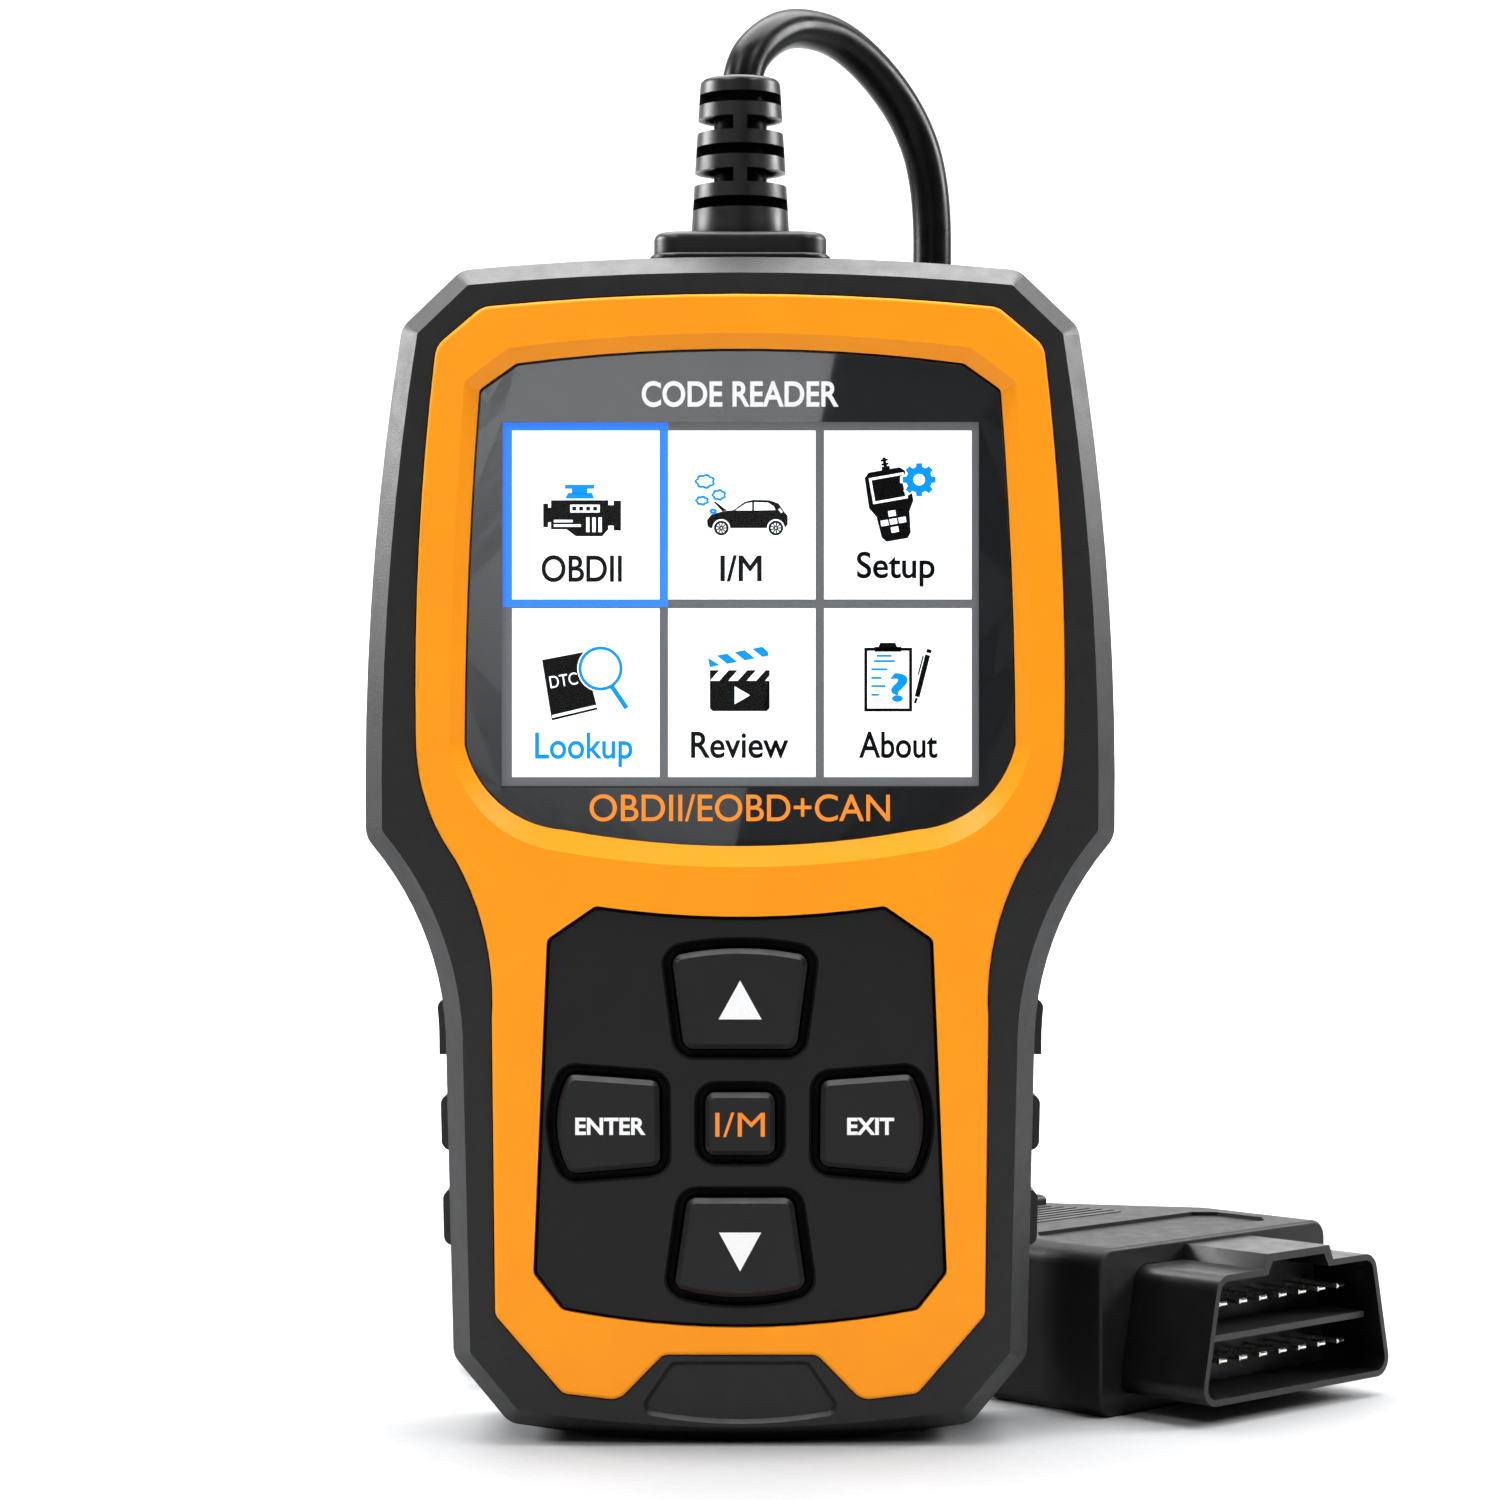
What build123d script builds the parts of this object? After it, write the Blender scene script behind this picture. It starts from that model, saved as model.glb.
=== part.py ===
from build123d import *
import math
import os

# A hand-held vehicle code reader: a two-part case with an orange bezel, a colour screen, five keys,
# a lead out of the top edge and a 16-way diagnostic plug at the lead's end.
# Millimetres. X is right, Y is from the face towards the back, Z is up. The case stands on its curved
# bottom edge at Z = 0 with its face towards -Y. Outlines are drawn face on, as (x, z), and a "depth"
# is a distance in front of the case's middle plane: depth 13 is the key tops, depth -13 the back.

# ---- driving dimensions -------------------------------------------------------------------------
CASE_HEIGHT = 144.6
CASE_HALF_WIDTH = 45.7
BACK = -13.0
PARTING = 0.0
KEY_TOP = 13.0
BEZEL_FACE = 12.7
RIM_FACE = 12.2
POCKET_FLOOR = 10.9
FRONT_WALL_BACK = 8.9
BACK_WALL_INSIDE = -11.0
WALL = 2.2

BEVEL_ACROSS = 2.3
BEVEL_DEEP = 3.2
BACK_CHAMFER = 2.4
LIP_HEIGHT = 1.2
LIP_THICKNESS = 1.0
SEAM = 0.12

LENS_THICKNESS = 1.4
LENS_LEDGE = 1.5
BEZEL_SLOPE = 1.7
BEZEL_SLOPE_BELOW = 2.5
BEZEL_SLOPE_DEPTH = 1.5
SCREEN_WIDTH = 57.8
SCREEN_HEIGHT = 44.2
SCREEN_CENTRE_Z = 102.1
MASK_THICKNESS = 0.2
PANEL_FRONT = 8.8
PANEL_BACK = 7.0

KEY_GROOVE = 1.1
KEY_SIDE_GAP = 0.3
KEY_FLANGE_TOP = 8.6
KEY_FLANGE_BACK = 7.7
KEY_FLANGE_LEDGE = 0.7
KEY_POST_RADIUS = 1.6
KEY_BEVEL = 0.6

BOARD_FRONT = 2.6
BOARD_BACK = 1.0
SWITCH_SIZE = 6.0
SWITCH_HEIGHT = 3.4
PLUNGER_RADIUS = 1.75
PLUNGER_TOP = 7.0
PLUNGER_LENGTH = 2.0

CASE_SCREWS = [(37.2, 120.0), (-37.2, 120.0), (26.5, 12.5), (-26.5, 12.5)]
SCREW_SEAT = -8.0
BOARD_SCREWS = [(28.0, 56.0), (-28.0, 56.0), (28.0, 25.0), (-28.0, 25.0)]

GRIP_BAND = 1.0
GRIP_PROUD = 1.8
GRIP_RIB_CENTRES = [49.8, 37.8, 25.9]
GRIP_RIB_HEIGHT = 7.0
GRIP_RIB_ROUNDING = 1.2
GRIP_BACK = -10.0
GRIP_FRONT = -1.5

LABEL_CENTRE_Z = 96.0

NECK_BOTTOM = 138.8
BOOT_TOP = 167.75
BOOT_BORE_DEPTH = 4.0
BOOT_FLANGE_TOP = 148.1
BOOT_LIP_TOP = 145.4
BOOT_BASE_RADIUS = 6.15
BOOT_TIP_RADIUS = 4.95
BOOT_CORE_RADIUS = 3.3
BOOT_SLOT_COUNT = 5
BOOT_FIRST_SLOT = 152.0
BOOT_SLOT_PITCH = 3.27
BOOT_FRONT_SLOT_HEIGHT = 1.35
BOOT_SIDE_SLOT_HEIGHT = 1.75
BOOT_WEB = 1.7

CORD_DIAMETER = 5.0
COIL_CENTRE = (-8.0, 48.5)
COIL_RADIUS = 25.2
COIL_END_DEG = 75.0
TIE_AT_DEG = 215.0

PLUG_PLACE = Location((71.2, 11.4, 0.0), (0.0, 0.0, 43.4))
PLUG_MID_Z = 10.7
NOSE_BOTTOM_WIDTH = 38.7
NOSE_TOP_WIDTH = 31.8
NOSE_HEIGHT = 16.2
NOSE_LENGTH = 13.5
NOSE_WALL = 0.8
PIN_PITCH = 4.0
PIN_ROW_OFFSET = 3.6
HOUSING_WIDTH = 45.6
HOUSING_TAIL_WIDTH = 20.0
HOUSING_THICKNESS = 21.4
HOUSING_END = 53.5
HOUSING_SHOULDER = 33.5
HOUSING_ROUNDING = 2.4
TOP_PANEL_DEPTH = 0.5
PLUG_BOOT_END = 66.0
PLUG_SCREWS = [(-17.5, 24.5), (17.5, 24.5)]


# ---- drawing helpers ----------------------------------------------------------------------------
def drawn(across, right_side):
    """A face symmetric about x = 0: edges that cross the middle, and the edges of the right side."""
    left_side = [mirror(edge, Plane.YZ) for edge in right_side]
    return make_face([*across, *right_side, *left_side])


def arc_across(half_width, end_z, middle_z):
    return ThreePointArc((-half_width, end_z), (0, middle_z), (half_width, end_z))


def line_across(half_width, z):
    return Line((-half_width, z), (half_width, z))


def rounded(face, radius, *corners):
    """Rounds the face's corners nearest the given (x, z) points and their mirror images."""
    places = [(side * x, z, 0) for x, z in corners for side in (1, -1)]
    return fillet([face.vertices().sort_by_distance(place)[0] for place in places], radius)


def slab(face, low, high):
    return Pos(0, 0, low) * extrude(face, amount=high - low)


def disc(radius, x, z, low, high):
    return slab(Pos(x, z) * Circle(radius), low, high)


def block(width, height, x, z, low, high):
    return slab(Pos(x, z) * Rectangle(width, height), low, high)


def face_on(shape):
    """Turns a solid drawn as (x, z, depth) into the case's own X, Y, Z."""
    return Plane.XZ * shape


def top_edges(solid):
    return solid.faces().filter_by(Axis.Z).sort_by(Axis.Z)[-1].outer_wire().edges()


# ---- outlines -----------------------------------------------------------------------------------
def case_outline():
    side = [
        Line((34.0, 143.0), (41.3, 136.0)),
        ThreePointArc((41.3, 136.0), (44.95, 104.0), (CASE_HALF_WIDTH, 73.7)),
        ThreePointArc((CASE_HALF_WIDTH, 73.7), (39.2, 63.6), (35.9, 47.5)),
        Line((35.9, 47.5), (35.0, 10.5)),
        Line((35.0, 10.5), (28.2, 2.3)),
    ]
    face = drawn([arc_across(34.0, 143.0, CASE_HEIGHT), arc_across(28.2, 2.3, 0.0)], side)
    face = rounded(face, 3.4, (CASE_HALF_WIDTH, 73.7))
    return rounded(face, 2.8, (34.0, 143.0), (41.3, 136.0), (35.0, 10.5), (28.2, 2.3))


def bezel_outline():
    side = [
        Line((31.3, 138.1), (36.85, 133.4)),
        ThreePointArc((36.85, 133.4), (38.9, 110.0), (39.3, 86.0)),
        ThreePointArc((39.3, 86.0), (37.9, 77.6), (34.5, 71.1)),
        ThreePointArc((34.5, 71.1), (31.5, 64.0), (30.1, 51.7)),
        Line((30.1, 51.7), (29.7, 15.9)),
        Line((29.7, 15.9), (21.5, 6.4)),
        Line((21.5, 6.4), (14.7, 5.6)),
        Line((14.7, 5.6), (9.3, 11.1)),
    ]
    face = drawn([arc_across(31.3, 138.1, 139.7), line_across(9.3, 11.1)], side)
    face = rounded(face, 3.0, (31.3, 138.1), (36.85, 133.4))
    face = rounded(face, 2.4, (14.7, 5.6))
    return rounded(face, 1.6, (29.7, 15.9), (21.5, 6.4), (9.3, 11.1))


def lens_outline(side=0.0, top=0.0, bottom=0.0):
    """The lens, or a larger outline around it: that much wider at each side, top and bottom."""
    right = [
        Line((27.2 + side / 2, 131.4 + top), (31.7 + side, 128.2 + top / 2)),
        ThreePointArc((31.7 + side, 128.2 + top / 2), (33.0 + side, 107.0), (33.5 + side, 85.0)),
        ThreePointArc((33.5 + side, 85.0), (30.3 + side, 78.9 - bottom / 2), (21.6 + side / 2, 74.7 - bottom)),
    ]
    face = drawn([arc_across(27.2 + side / 2, 131.4 + top, 133.2 + top),
                  arc_across(21.6 + side / 2, 74.7 - bottom, 72.7 - bottom)], right)
    return rounded(face, 1.0, (27.2 + side / 2, 131.4 + top), (31.7 + side, 128.2 + top / 2))


def keypad_outline():
    side = [
        Line((17.5, 65.4), (23.3, 61.4)),
        Line((23.3, 61.4), (24.95, 21.0)),
        Line((24.95, 21.0), (21.5, 16.6)),
    ]
    face = drawn([arc_across(17.5, 65.4, 64.1), arc_across(21.5, 16.6, 14.5)], side)
    return rounded(face, 1.0, (17.5, 65.4), (23.3, 61.4), (24.95, 21.0), (21.5, 16.6))


def up_key_outline():
    side = [Line((8.3, 59.4), (6.8, 48.2))]
    face = drawn([arc_across(8.3, 59.4, 60.35), line_across(6.8, 48.2)], side)
    return fillet(face.vertices(), 1.3)


def down_key_outline():
    side = [Line((6.4, 30.1), (7.95, 19.3))]
    face = drawn([line_across(6.4, 30.1), arc_across(7.95, 19.3, 18.1)], side)
    return fillet(face.vertices(), 1.3)


def side_key_outline(sign):
    """ENTER on the left, EXIT on the right: straight towards the middle, bulging outwards."""
    inner_top = (sign * 9.8, 44.3)
    outer_top = (sign * 20.7, 45.1)
    outer_bottom = (sign * 20.6, 33.1)
    inner_bottom = (sign * 9.7, 34.0)
    edges = [
        Line(inner_top, outer_top),
        ThreePointArc(outer_top, (sign * 22.2, 39.1), outer_bottom),
        Line(outer_bottom, inner_bottom),
        Line(inner_bottom, inner_top),
    ]
    face = make_face(edges)
    return fillet(face.vertices(), 1.2)


def middle_key_outline():
    return Pos(0, 39.1) * RectangleRounded(8.4, 7.6, 1.2)


KEYS = {
    "key_up": (up_key_outline(), 0.0, 54.2),
    "key_down": (down_key_outline(), 0.0, 24.3),
    "key_enter": (side_key_outline(-1), -15.6, 39.1),
    "key_exit": (side_key_outline(1), 15.6, 39.1),
    "key_middle": (middle_key_outline(), 0.0, 39.1),
}


def notch_panel_outline():
    face = drawn([line_across(8.1, 9.8), arc_across(11.8, 4.4, 3.2)], [Line((8.1, 9.8), (11.8, 4.4))])
    return fillet(face.vertices(), 0.8)


def board_outline():
    corners = [(-29, 8), (29, 8), (31.5, 11), (31.5, 60), (37, 76), (37, 128), (32, 135),
               (-32, 135), (-37, 128), (-37, 76), (-31.5, 60), (-31.5, 11)]
    return make_face(Polyline(*corners, close=True))


CASE = case_outline()
BEZEL = bezel_outline()
LENS = lens_outline()
KEYPAD = keypad_outline()


# ---- case ---------------------------------------------------------------------------------------
def front_cover():
    cover = slab(CASE, PARTING, RIM_FACE)
    rim = cover.faces().filter_by(Axis.Z).sort_by(Axis.Z)[-1]
    cover = chamfer(rim.edges(), BEVEL_ACROSS, length2=BEVEL_DEEP, reference=rim)
    cover -= slab(offset(CASE, -WALL), PARTING, FRONT_WALL_BACK)
    cover -= slab(offset(CASE, -LIP_THICKNESS), PARTING, LIP_HEIGHT + 0.1)
    cover -= slab(offset(BEZEL, SEAM), POCKET_FLOOR, RIM_FACE)
    cover -= slab(KEYPAD, POCKET_FLOOR, RIM_FACE)
    cover -= slab(offset(LENS, LENS_LEDGE + SEAM), POCKET_FLOOR - LENS_THICKNESS, POCKET_FLOOR)
    cover -= slab(offset(LENS, 0.3), FRONT_WALL_BACK, POCKET_FLOOR)
    for outline, x, z in KEYS.values():
        cover -= slab(offset(outline, KEY_SIDE_GAP), FRONT_WALL_BACK, POCKET_FLOOR)
    cover -= Pos(0, 0, RIM_FACE - 0.5) * extrude(notch_panel_outline(), 0.5, taper=-45)
    for x, z in CASE_SCREWS:
        cover += disc(3.1, x, z, 0.05, FRONT_WALL_BACK)
        cover -= disc(1.1, x, z, 0.05, FRONT_WALL_BACK - 1)
    for x, z in BOARD_SCREWS:
        cover += disc(2.3, x, z, BOARD_FRONT, FRONT_WALL_BACK)
        cover -= disc(0.9, x, z, BOARD_FRONT, FRONT_WALL_BACK - 1)
    return face_on(cover) - boot_neck_space()


def rear_cover():
    cover = slab(CASE, BACK, PARTING)
    back = cover.faces().filter_by(Axis.Z).sort_by(Axis.Z)[0]
    cover = chamfer(back.edges(), BACK_CHAMFER)
    cover -= slab(offset(CASE, -WALL), BACK_WALL_INSIDE, PARTING)
    cover += slab(offset(CASE, -LIP_THICKNESS - 0.1) - offset(CASE, -WALL), PARTING, LIP_HEIGHT)
    for x, z in CASE_SCREWS:
        cover += disc(3.6, x, z, BACK_WALL_INSIDE, PARTING)
        cover -= disc(1.6, x, z, BACK, PARTING)
        cover -= disc(3.0, x, z, BACK, SCREW_SEAT)
    for band in grip_bands():
        cover -= band
    cover -= label_recess()
    return face_on(cover) - boot_neck_space()


def bezel():
    frame = slab(BEZEL, POCKET_FLOOR, BEZEL_FACE)
    frame = fillet(top_edges(frame), 0.5)
    frame -= slab(LENS, POCKET_FLOOR, BEZEL_FACE)
    frame -= lens_slope()
    frame -= slab(offset(KEYPAD, SEAM), POCKET_FLOOR, BEZEL_FACE)
    return face_on(frame)


def lens_slope():
    """The space above the lens, widening towards the bezel's face and widest below."""
    low = BEZEL_FACE - BEZEL_SLOPE_DEPTH
    wide = lens_outline(BEZEL_SLOPE, BEZEL_SLOPE, BEZEL_SLOPE_BELOW)
    return loft([Pos(0, 0, low) * LENS, Pos(0, 0, BEZEL_FACE) * wide], ruled=True)


def screen_lens():
    plate = slab(offset(LENS, LENS_LEDGE), POCKET_FLOOR - LENS_THICKNESS, POCKET_FLOOR)
    return face_on(plate)


def lens_mask():
    """The black print on the back of the lens, with a clear window over the picture."""
    window = Pos(0, SCREEN_CENTRE_Z) * Rectangle(SCREEN_WIDTH + 0.4, SCREEN_HEIGHT + 0.4)
    back = POCKET_FLOOR - LENS_THICKNESS
    return face_on(slab(LENS - window, back - MASK_THICKNESS, back))


def keypad_plate():
    plate = slab(KEYPAD, POCKET_FLOOR, RIM_FACE)
    for outline, x, z in KEYS.values():
        plate -= slab(offset(outline, KEY_GROOVE), POCKET_FLOOR, RIM_FACE)
    face = plate.faces().filter_by(Axis.Z).sort_by(Axis.Z)[-1]
    return face_on(chamfer(face.edges(), 0.3))


def key_cap(outline, x, z):
    """A key: its cap, the flange that holds it behind the front wall, and the post on its switch."""
    cap = slab(outline, KEY_FLANGE_BACK, KEY_TOP)
    cap = chamfer(top_edges(cap), KEY_BEVEL)
    cap += slab(offset(outline, KEY_FLANGE_LEDGE), KEY_FLANGE_BACK, KEY_FLANGE_TOP)
    cap += disc(KEY_POST_RADIUS, x, z, PLUNGER_TOP, KEY_FLANGE_BACK)
    return face_on(cap)


def switch_plunger(x, z):
    return face_on(disc(PLUNGER_RADIUS, x, z, PLUNGER_TOP - PLUNGER_LENGTH, PLUNGER_TOP))


def tact_switches():
    top = BOARD_FRONT + SWITCH_HEIGHT
    bodies = []
    for outline, x, z in KEYS.values():
        body = block(SWITCH_SIZE, SWITCH_SIZE, x, z, BOARD_FRONT, top)
        body -= disc(PLUNGER_RADIUS + 0.06, x, z, BOARD_FRONT + 1.0, top)
        bodies.append(face_on(body))
    return Compound(children=bodies)


def grip_boxes():
    """The stretch of each side wall that carries a grip, right side then left."""
    bottom = GRIP_RIB_CENTRES[-1] - GRIP_RIB_HEIGHT / 2 - 2
    top = GRIP_RIB_CENTRES[0] + GRIP_RIB_HEIGHT / 2 + 2
    height = top - bottom
    return [block(12, height, side * 38, bottom + height / 2, GRIP_BACK, GRIP_FRONT) for side in (1, -1)]


def grip_bands():
    band = slab(CASE - offset(CASE, -GRIP_BAND), GRIP_BACK, GRIP_FRONT)
    return [band & box for box in grip_boxes()]


def side_grip(side):
    """Soft strip let into the rear cover's side wall, with three raised ribs."""
    grip = grip_bands()[0 if side > 0 else 1]
    proud = slab(offset(CASE, GRIP_PROUD) - offset(CASE, -GRIP_BAND / 2), GRIP_BACK + 1, GRIP_FRONT - 1)
    for z in GRIP_RIB_CENTRES:
        rib = proud & block(12, GRIP_RIB_HEIGHT, side * 38, z, GRIP_BACK + 1, GRIP_FRONT - 1)
        outer = rib.edges().filter_by(Axis.Z).sort_by(lambda edge: -abs(edge.center().X))[:2]
        grip += fillet(outer, GRIP_RIB_ROUNDING)
    return face_on(grip)


def label_recess():
    return block(46, 52, 0, LABEL_CENTRE_Z, BACK, BACK + 0.4)


def back_label():
    return face_on(slab(Pos(0, LABEL_CENTRE_Z) * RectangleRounded(45.4, 51.4, 1.5), BACK + 0.15, BACK + 0.4))


def screw(x, z, head_radius, head_low, head_high, shank_radius, tip):
    """A cross-head screw driven from the back: the head, then the shank towards the front."""
    body = disc(head_radius, x, z, head_low, head_high)
    body += disc(shank_radius, x, z, head_high, tip)
    for turn in (0, 90):
        slot = Pos(x, z) * Rot(0, 0, turn + 45) * Rectangle(head_radius * 1.3, 0.7)
        body -= slab(slot, head_low, head_low + 0.9)
    return face_on(body)


def case_screws():
    return Compound(children=[screw(x, z, 2.75, SCREW_SEAT - 1.9, SCREW_SEAT, 1.05, 6.5)
                              for x, z in CASE_SCREWS])


def board_screws():
    return Compound(children=[screw(x, z, 1.9, BOARD_BACK - 1.3, BOARD_BACK, 0.85, 6.0)
                              for x, z in BOARD_SCREWS])


# ---- electronics --------------------------------------------------------------------------------
def main_board():
    board = slab(board_outline(), BOARD_BACK, BOARD_FRONT)
    for x, z in CASE_SCREWS:
        board -= disc(4.4, x, z, BOARD_BACK, BOARD_FRONT)
    for x, z in BOARD_SCREWS:
        board -= disc(1.1, x, z, BOARD_BACK, BOARD_FRONT)
    return face_on(board)


def screen_frame():
    """Moulded tray that carries the display above the board."""
    low = BOARD_FRONT
    frame = block(66, 52, 0, SCREEN_CENTRE_Z, low, FRONT_WALL_BACK)
    frame -= block(63.4, 49.4, 0, SCREEN_CENTRE_Z, PANEL_BACK, FRONT_WALL_BACK)
    frame -= block(60, 46, 0, SCREEN_CENTRE_Z, low, PANEL_BACK)
    frame -= block(34, 8, 0, SCREEN_CENTRE_Z - 24, low, PANEL_BACK + 0.6)
    return face_on(frame)


def screen_panel():
    return face_on(block(63, 49, 0, SCREEN_CENTRE_Z, PANEL_BACK, PANEL_FRONT))


def screen_ribbon():
    """Flat flexible lead: out of the panel's back, down to its socket on the board."""
    bottom = SCREEN_CENTRE_Z - 24.5
    path = [(PANEL_BACK, bottom + 6), (PANEL_BACK, bottom + 1.2), (BOARD_FRONT + 1.0, bottom + 1.2),
            (BOARD_FRONT + 1.0, bottom + 8)]
    inner = [(PANEL_BACK - 0.3, bottom + 6), (PANEL_BACK - 0.3, bottom + 1.5),
             (BOARD_FRONT + 1.3, bottom + 1.5), (BOARD_FRONT + 1.3, bottom + 8)]
    side = make_face(Polyline(*path, *reversed(inner), close=True))
    return Pos(-12, 0, 0) * extrude(Plane.YZ * mirror(side, Plane.YZ), amount=24)


def ribbon_socket():
    return face_on(block(27, 4.0, 0, SCREEN_CENTRE_Z - 14.4, BOARD_FRONT, BOARD_FRONT + 1.0)
                   + block(27, 2.0, 0, SCREEN_CENTRE_Z - 13.4, BOARD_FRONT + 1.0, BOARD_FRONT + 2.2))


def chip(width, height, x, z, thickness):
    return block(width, height, x, z, BOARD_BACK - thickness, BOARD_BACK)


def processor_chip():
    return face_on(chip(14, 14, 0, 96, 1.4))


def small_chips():
    places = [(5.3, 8.2, -18, 102), (5, 6.2, 17, 104), (5, 6.2, 17, 94), (5, 6.2, -18, 84),
              (6.6, 6.6, 14, 118), (9, 7, -17, 118)]
    return Compound(children=[face_on(chip(w, h, x, z, 1.5)) for w, h, x, z in places])


def crystal():
    body = slab(Pos(0, 82) * SlotOverall(11, 4.6), BOARD_BACK - 3.5, BOARD_BACK)
    return face_on(body)


def beeper():
    body = disc(6.0, 20, 76, BOARD_BACK - 5.5, BOARD_BACK)
    body -= disc(1.0, 20, 76, BOARD_BACK - 5.5, BOARD_BACK - 4.5)
    return face_on(body)


def lead_socket():
    """Board-mounted socket for the inner end of the lead."""
    body = block(14, 6, 0, 128, BOARD_BACK - 5.5, BOARD_BACK)
    return face_on(body)


def lead_wires():
    """Five insulated cores from the boot's inner end down to the socket."""
    return Compound(children=[Pos(2.4 * (i - 2), 2.0, 131) * Cylinder(0.6, NECK_BOTTOM - 131,
                    align=(Align.CENTER, Align.CENTER, Align.MIN)) for i in range(5)])


# ---- cable boot ---------------------------------------------------------------------------------
def boot_neck_space():
    return Pos(0, 0, 143) * Box(12.4, 7.4, 6)


def cable_boot():
    """Segmented strain relief: a block inside the case, a neck, a flange and a slotted cone."""
    low_align = (Align.CENTER, Align.CENTER, Align.MIN)
    inner = Pos(0, 0, NECK_BOTTOM) * Box(17, 10, 3.0, align=low_align)
    neck = Pos(0, 0, NECK_BOTTOM) * Box(12, 7, 8, align=low_align)
    flange = Pos(0, 0, 143) * extrude(RectangleRounded(21.3, 15, 3.4), amount=BOOT_FLANGE_TOP - 143)
    flange = fillet(flange.faces().sort_by(Axis.Z)[-1].edges(), 1.0)
    lip = Pos(0, 0, 143) * extrude(RectangleRounded(22.3, 16, 3.9), amount=BOOT_LIP_TOP - 143)
    flange += fillet(lip.faces().sort_by(Axis.Z)[-1].edges(), 0.45)
    flange -= face_on(slab(CASE, BACK, RIM_FACE))
    height = BOOT_TOP - BOOT_FLANGE_TOP
    cone = Pos(0, 0, BOOT_FLANGE_TOP) * Cone(BOOT_BASE_RADIUS, BOOT_TIP_RADIUS, height, align=low_align)
    core = Pos(0, 0, BOOT_FLANGE_TOP) * Cylinder(BOOT_CORE_RADIUS, height, align=low_align)
    for i in range(BOOT_SLOT_COUNT):
        z = BOOT_FIRST_SLOT + BOOT_SLOT_PITCH * i
        opens_to_front = i % 2 == 0
        height = BOOT_FRONT_SLOT_HEIGHT if opens_to_front else BOOT_SIDE_SLOT_HEIGHT
        web = Box(16, BOOT_WEB, height) if opens_to_front else Box(BOOT_WEB, 16, height)
        cone -= Pos(0, 0, z) * (Box(16, 16, height) - web)
    cone = fillet(cone.faces().sort_by(Axis.Z)[-1].edges(), 0.8)
    bore = Pos(0, 0, BOOT_TOP - BOOT_BORE_DEPTH) * Cylinder(CORD_DIAMETER / 2 + 0.15, 10, align=low_align)
    return inner + neck + flange + cone + core - bore


# ---- lead ---------------------------------------------------------------------------------------
def coil_point(degrees, radius, z):
    angle = math.radians(degrees)
    return (COIL_CENTRE[0] + radius * math.cos(angle), COIL_CENTRE[1] + radius * math.sin(angle), z)


LEAD_ROUTE = [
    (0.0, 0.0, BOOT_TOP - BOOT_BORE_DEPTH),
    (0.0, 0.0, 168.9),
    (2.7, 2.5, 173.3),
    (7.0, 8.2, 176.3),
    (13.8, 14.6, 175.5),
    (21.6, 20.0, 167.6),
    (25.0, 21.6, 158.0),
    (24.9, 22.0, 141.0),
    (24.6, 22.4, 116.0),
    (22.8, 22.0, 83.0),
    (21.6, 21.4, 50.0),
    (19.6, 21.0, 28.0),
    (14.5, 20.8, 11.5),
    (5.0, 20.7, 3.4),
    (-7.9, 20.9, 2.6),
]
TAIL_ROUTE = [
    coil_point(COIL_END_DEG, COIL_RADIUS, 7.0),
    (11.0, 70.0, 8.4),
    (20.35, 65.17, PLUG_MID_Z),
    (25.85, 59.35, PLUG_MID_Z),
]


def corner_radii(points):
    """The largest arc at each corner: 0.45 of the shorter run over the tangent of half the turn."""
    radii = []
    for before, here, after in zip(points, points[1:], points[2:]):
        run_in = Vector(here) - Vector(before)
        run_out = Vector(after) - Vector(here)
        half_turn = math.radians(run_in.get_angle(run_out)) / 2
        radii.append(0.45 * min(run_in.length, run_out.length) / math.tan(half_turn))
    return radii


def tube(name, points):
    radii = corner_radii(points)
    path = FilletPolyline(*points, radius=radii)
    start = Plane(origin=path @ 0, z_dir=path % 0)
    solid = sweep(start * Circle(CORD_DIAMETER / 2), path=path)
    expected = math.pi * (CORD_DIAMETER / 2) ** 2 * path.length
    print(name, "length", round(path.length, 1), "radii", [round(r, 1) for r in radii],
          "volume over section x length", round(solid.volume / expected, 4))
    return solid


def cord_coil():
    """The outer shape of the wound turns: two side by side on the floor and one nested on top."""
    reach = CORD_DIAMETER / 2
    inner = COIL_RADIUS - 2 * reach
    outer = COIL_RADIUS + 2 * reach
    section = make_face(Polyline((inner, 0), (outer, 0), (outer, 4.0), (COIL_RADIUS + 2.3, 9.2),
                                 (COIL_RADIUS - 2.3, 9.2), (inner, 4.0), close=True))
    section = fillet(section.vertices(), 0.9)
    ring = revolve(Plane.XZ * section, Axis.Z)
    return Pos(COIL_CENTRE[0], COIL_CENTRE[1], 0) * ring


def coil_tie():
    """Strap over the coil, down to the floor on both sides of the turns."""
    low_align = (Align.CENTER, Align.CENTER, Align.MIN)
    half_width = CORD_DIAMETER + 0.3
    strap = Box(2 * half_width + 1.6, 5.0, 10.1, align=low_align)
    strap -= Box(2 * half_width, 5.0, 9.3, align=low_align)
    strap = fillet(strap.faces().sort_by(Axis.Z)[-1].edges().filter_by(Axis.Y), 2.0)
    return Pos(*COIL_CENTRE, 0) * Rot(0, 0, TIE_AT_DEG) * Pos(COIL_RADIUS, 0, 0) * strap


# ---- plug ---------------------------------------------------------------------------------------
def nose_section(grow=0.0):
    """The D-shaped connector outline seen from its mouth, wide side down."""
    half_height = NOSE_HEIGHT / 2
    corners = [(-NOSE_BOTTOM_WIDTH / 2, -half_height), (NOSE_BOTTOM_WIDTH / 2, -half_height),
               (NOSE_TOP_WIDTH / 2, half_height), (-NOSE_TOP_WIDTH / 2, half_height)]
    face = fillet(make_face(Polyline(*corners, close=True)).vertices(), 2.4)
    return offset(face, grow) if grow else face


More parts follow.
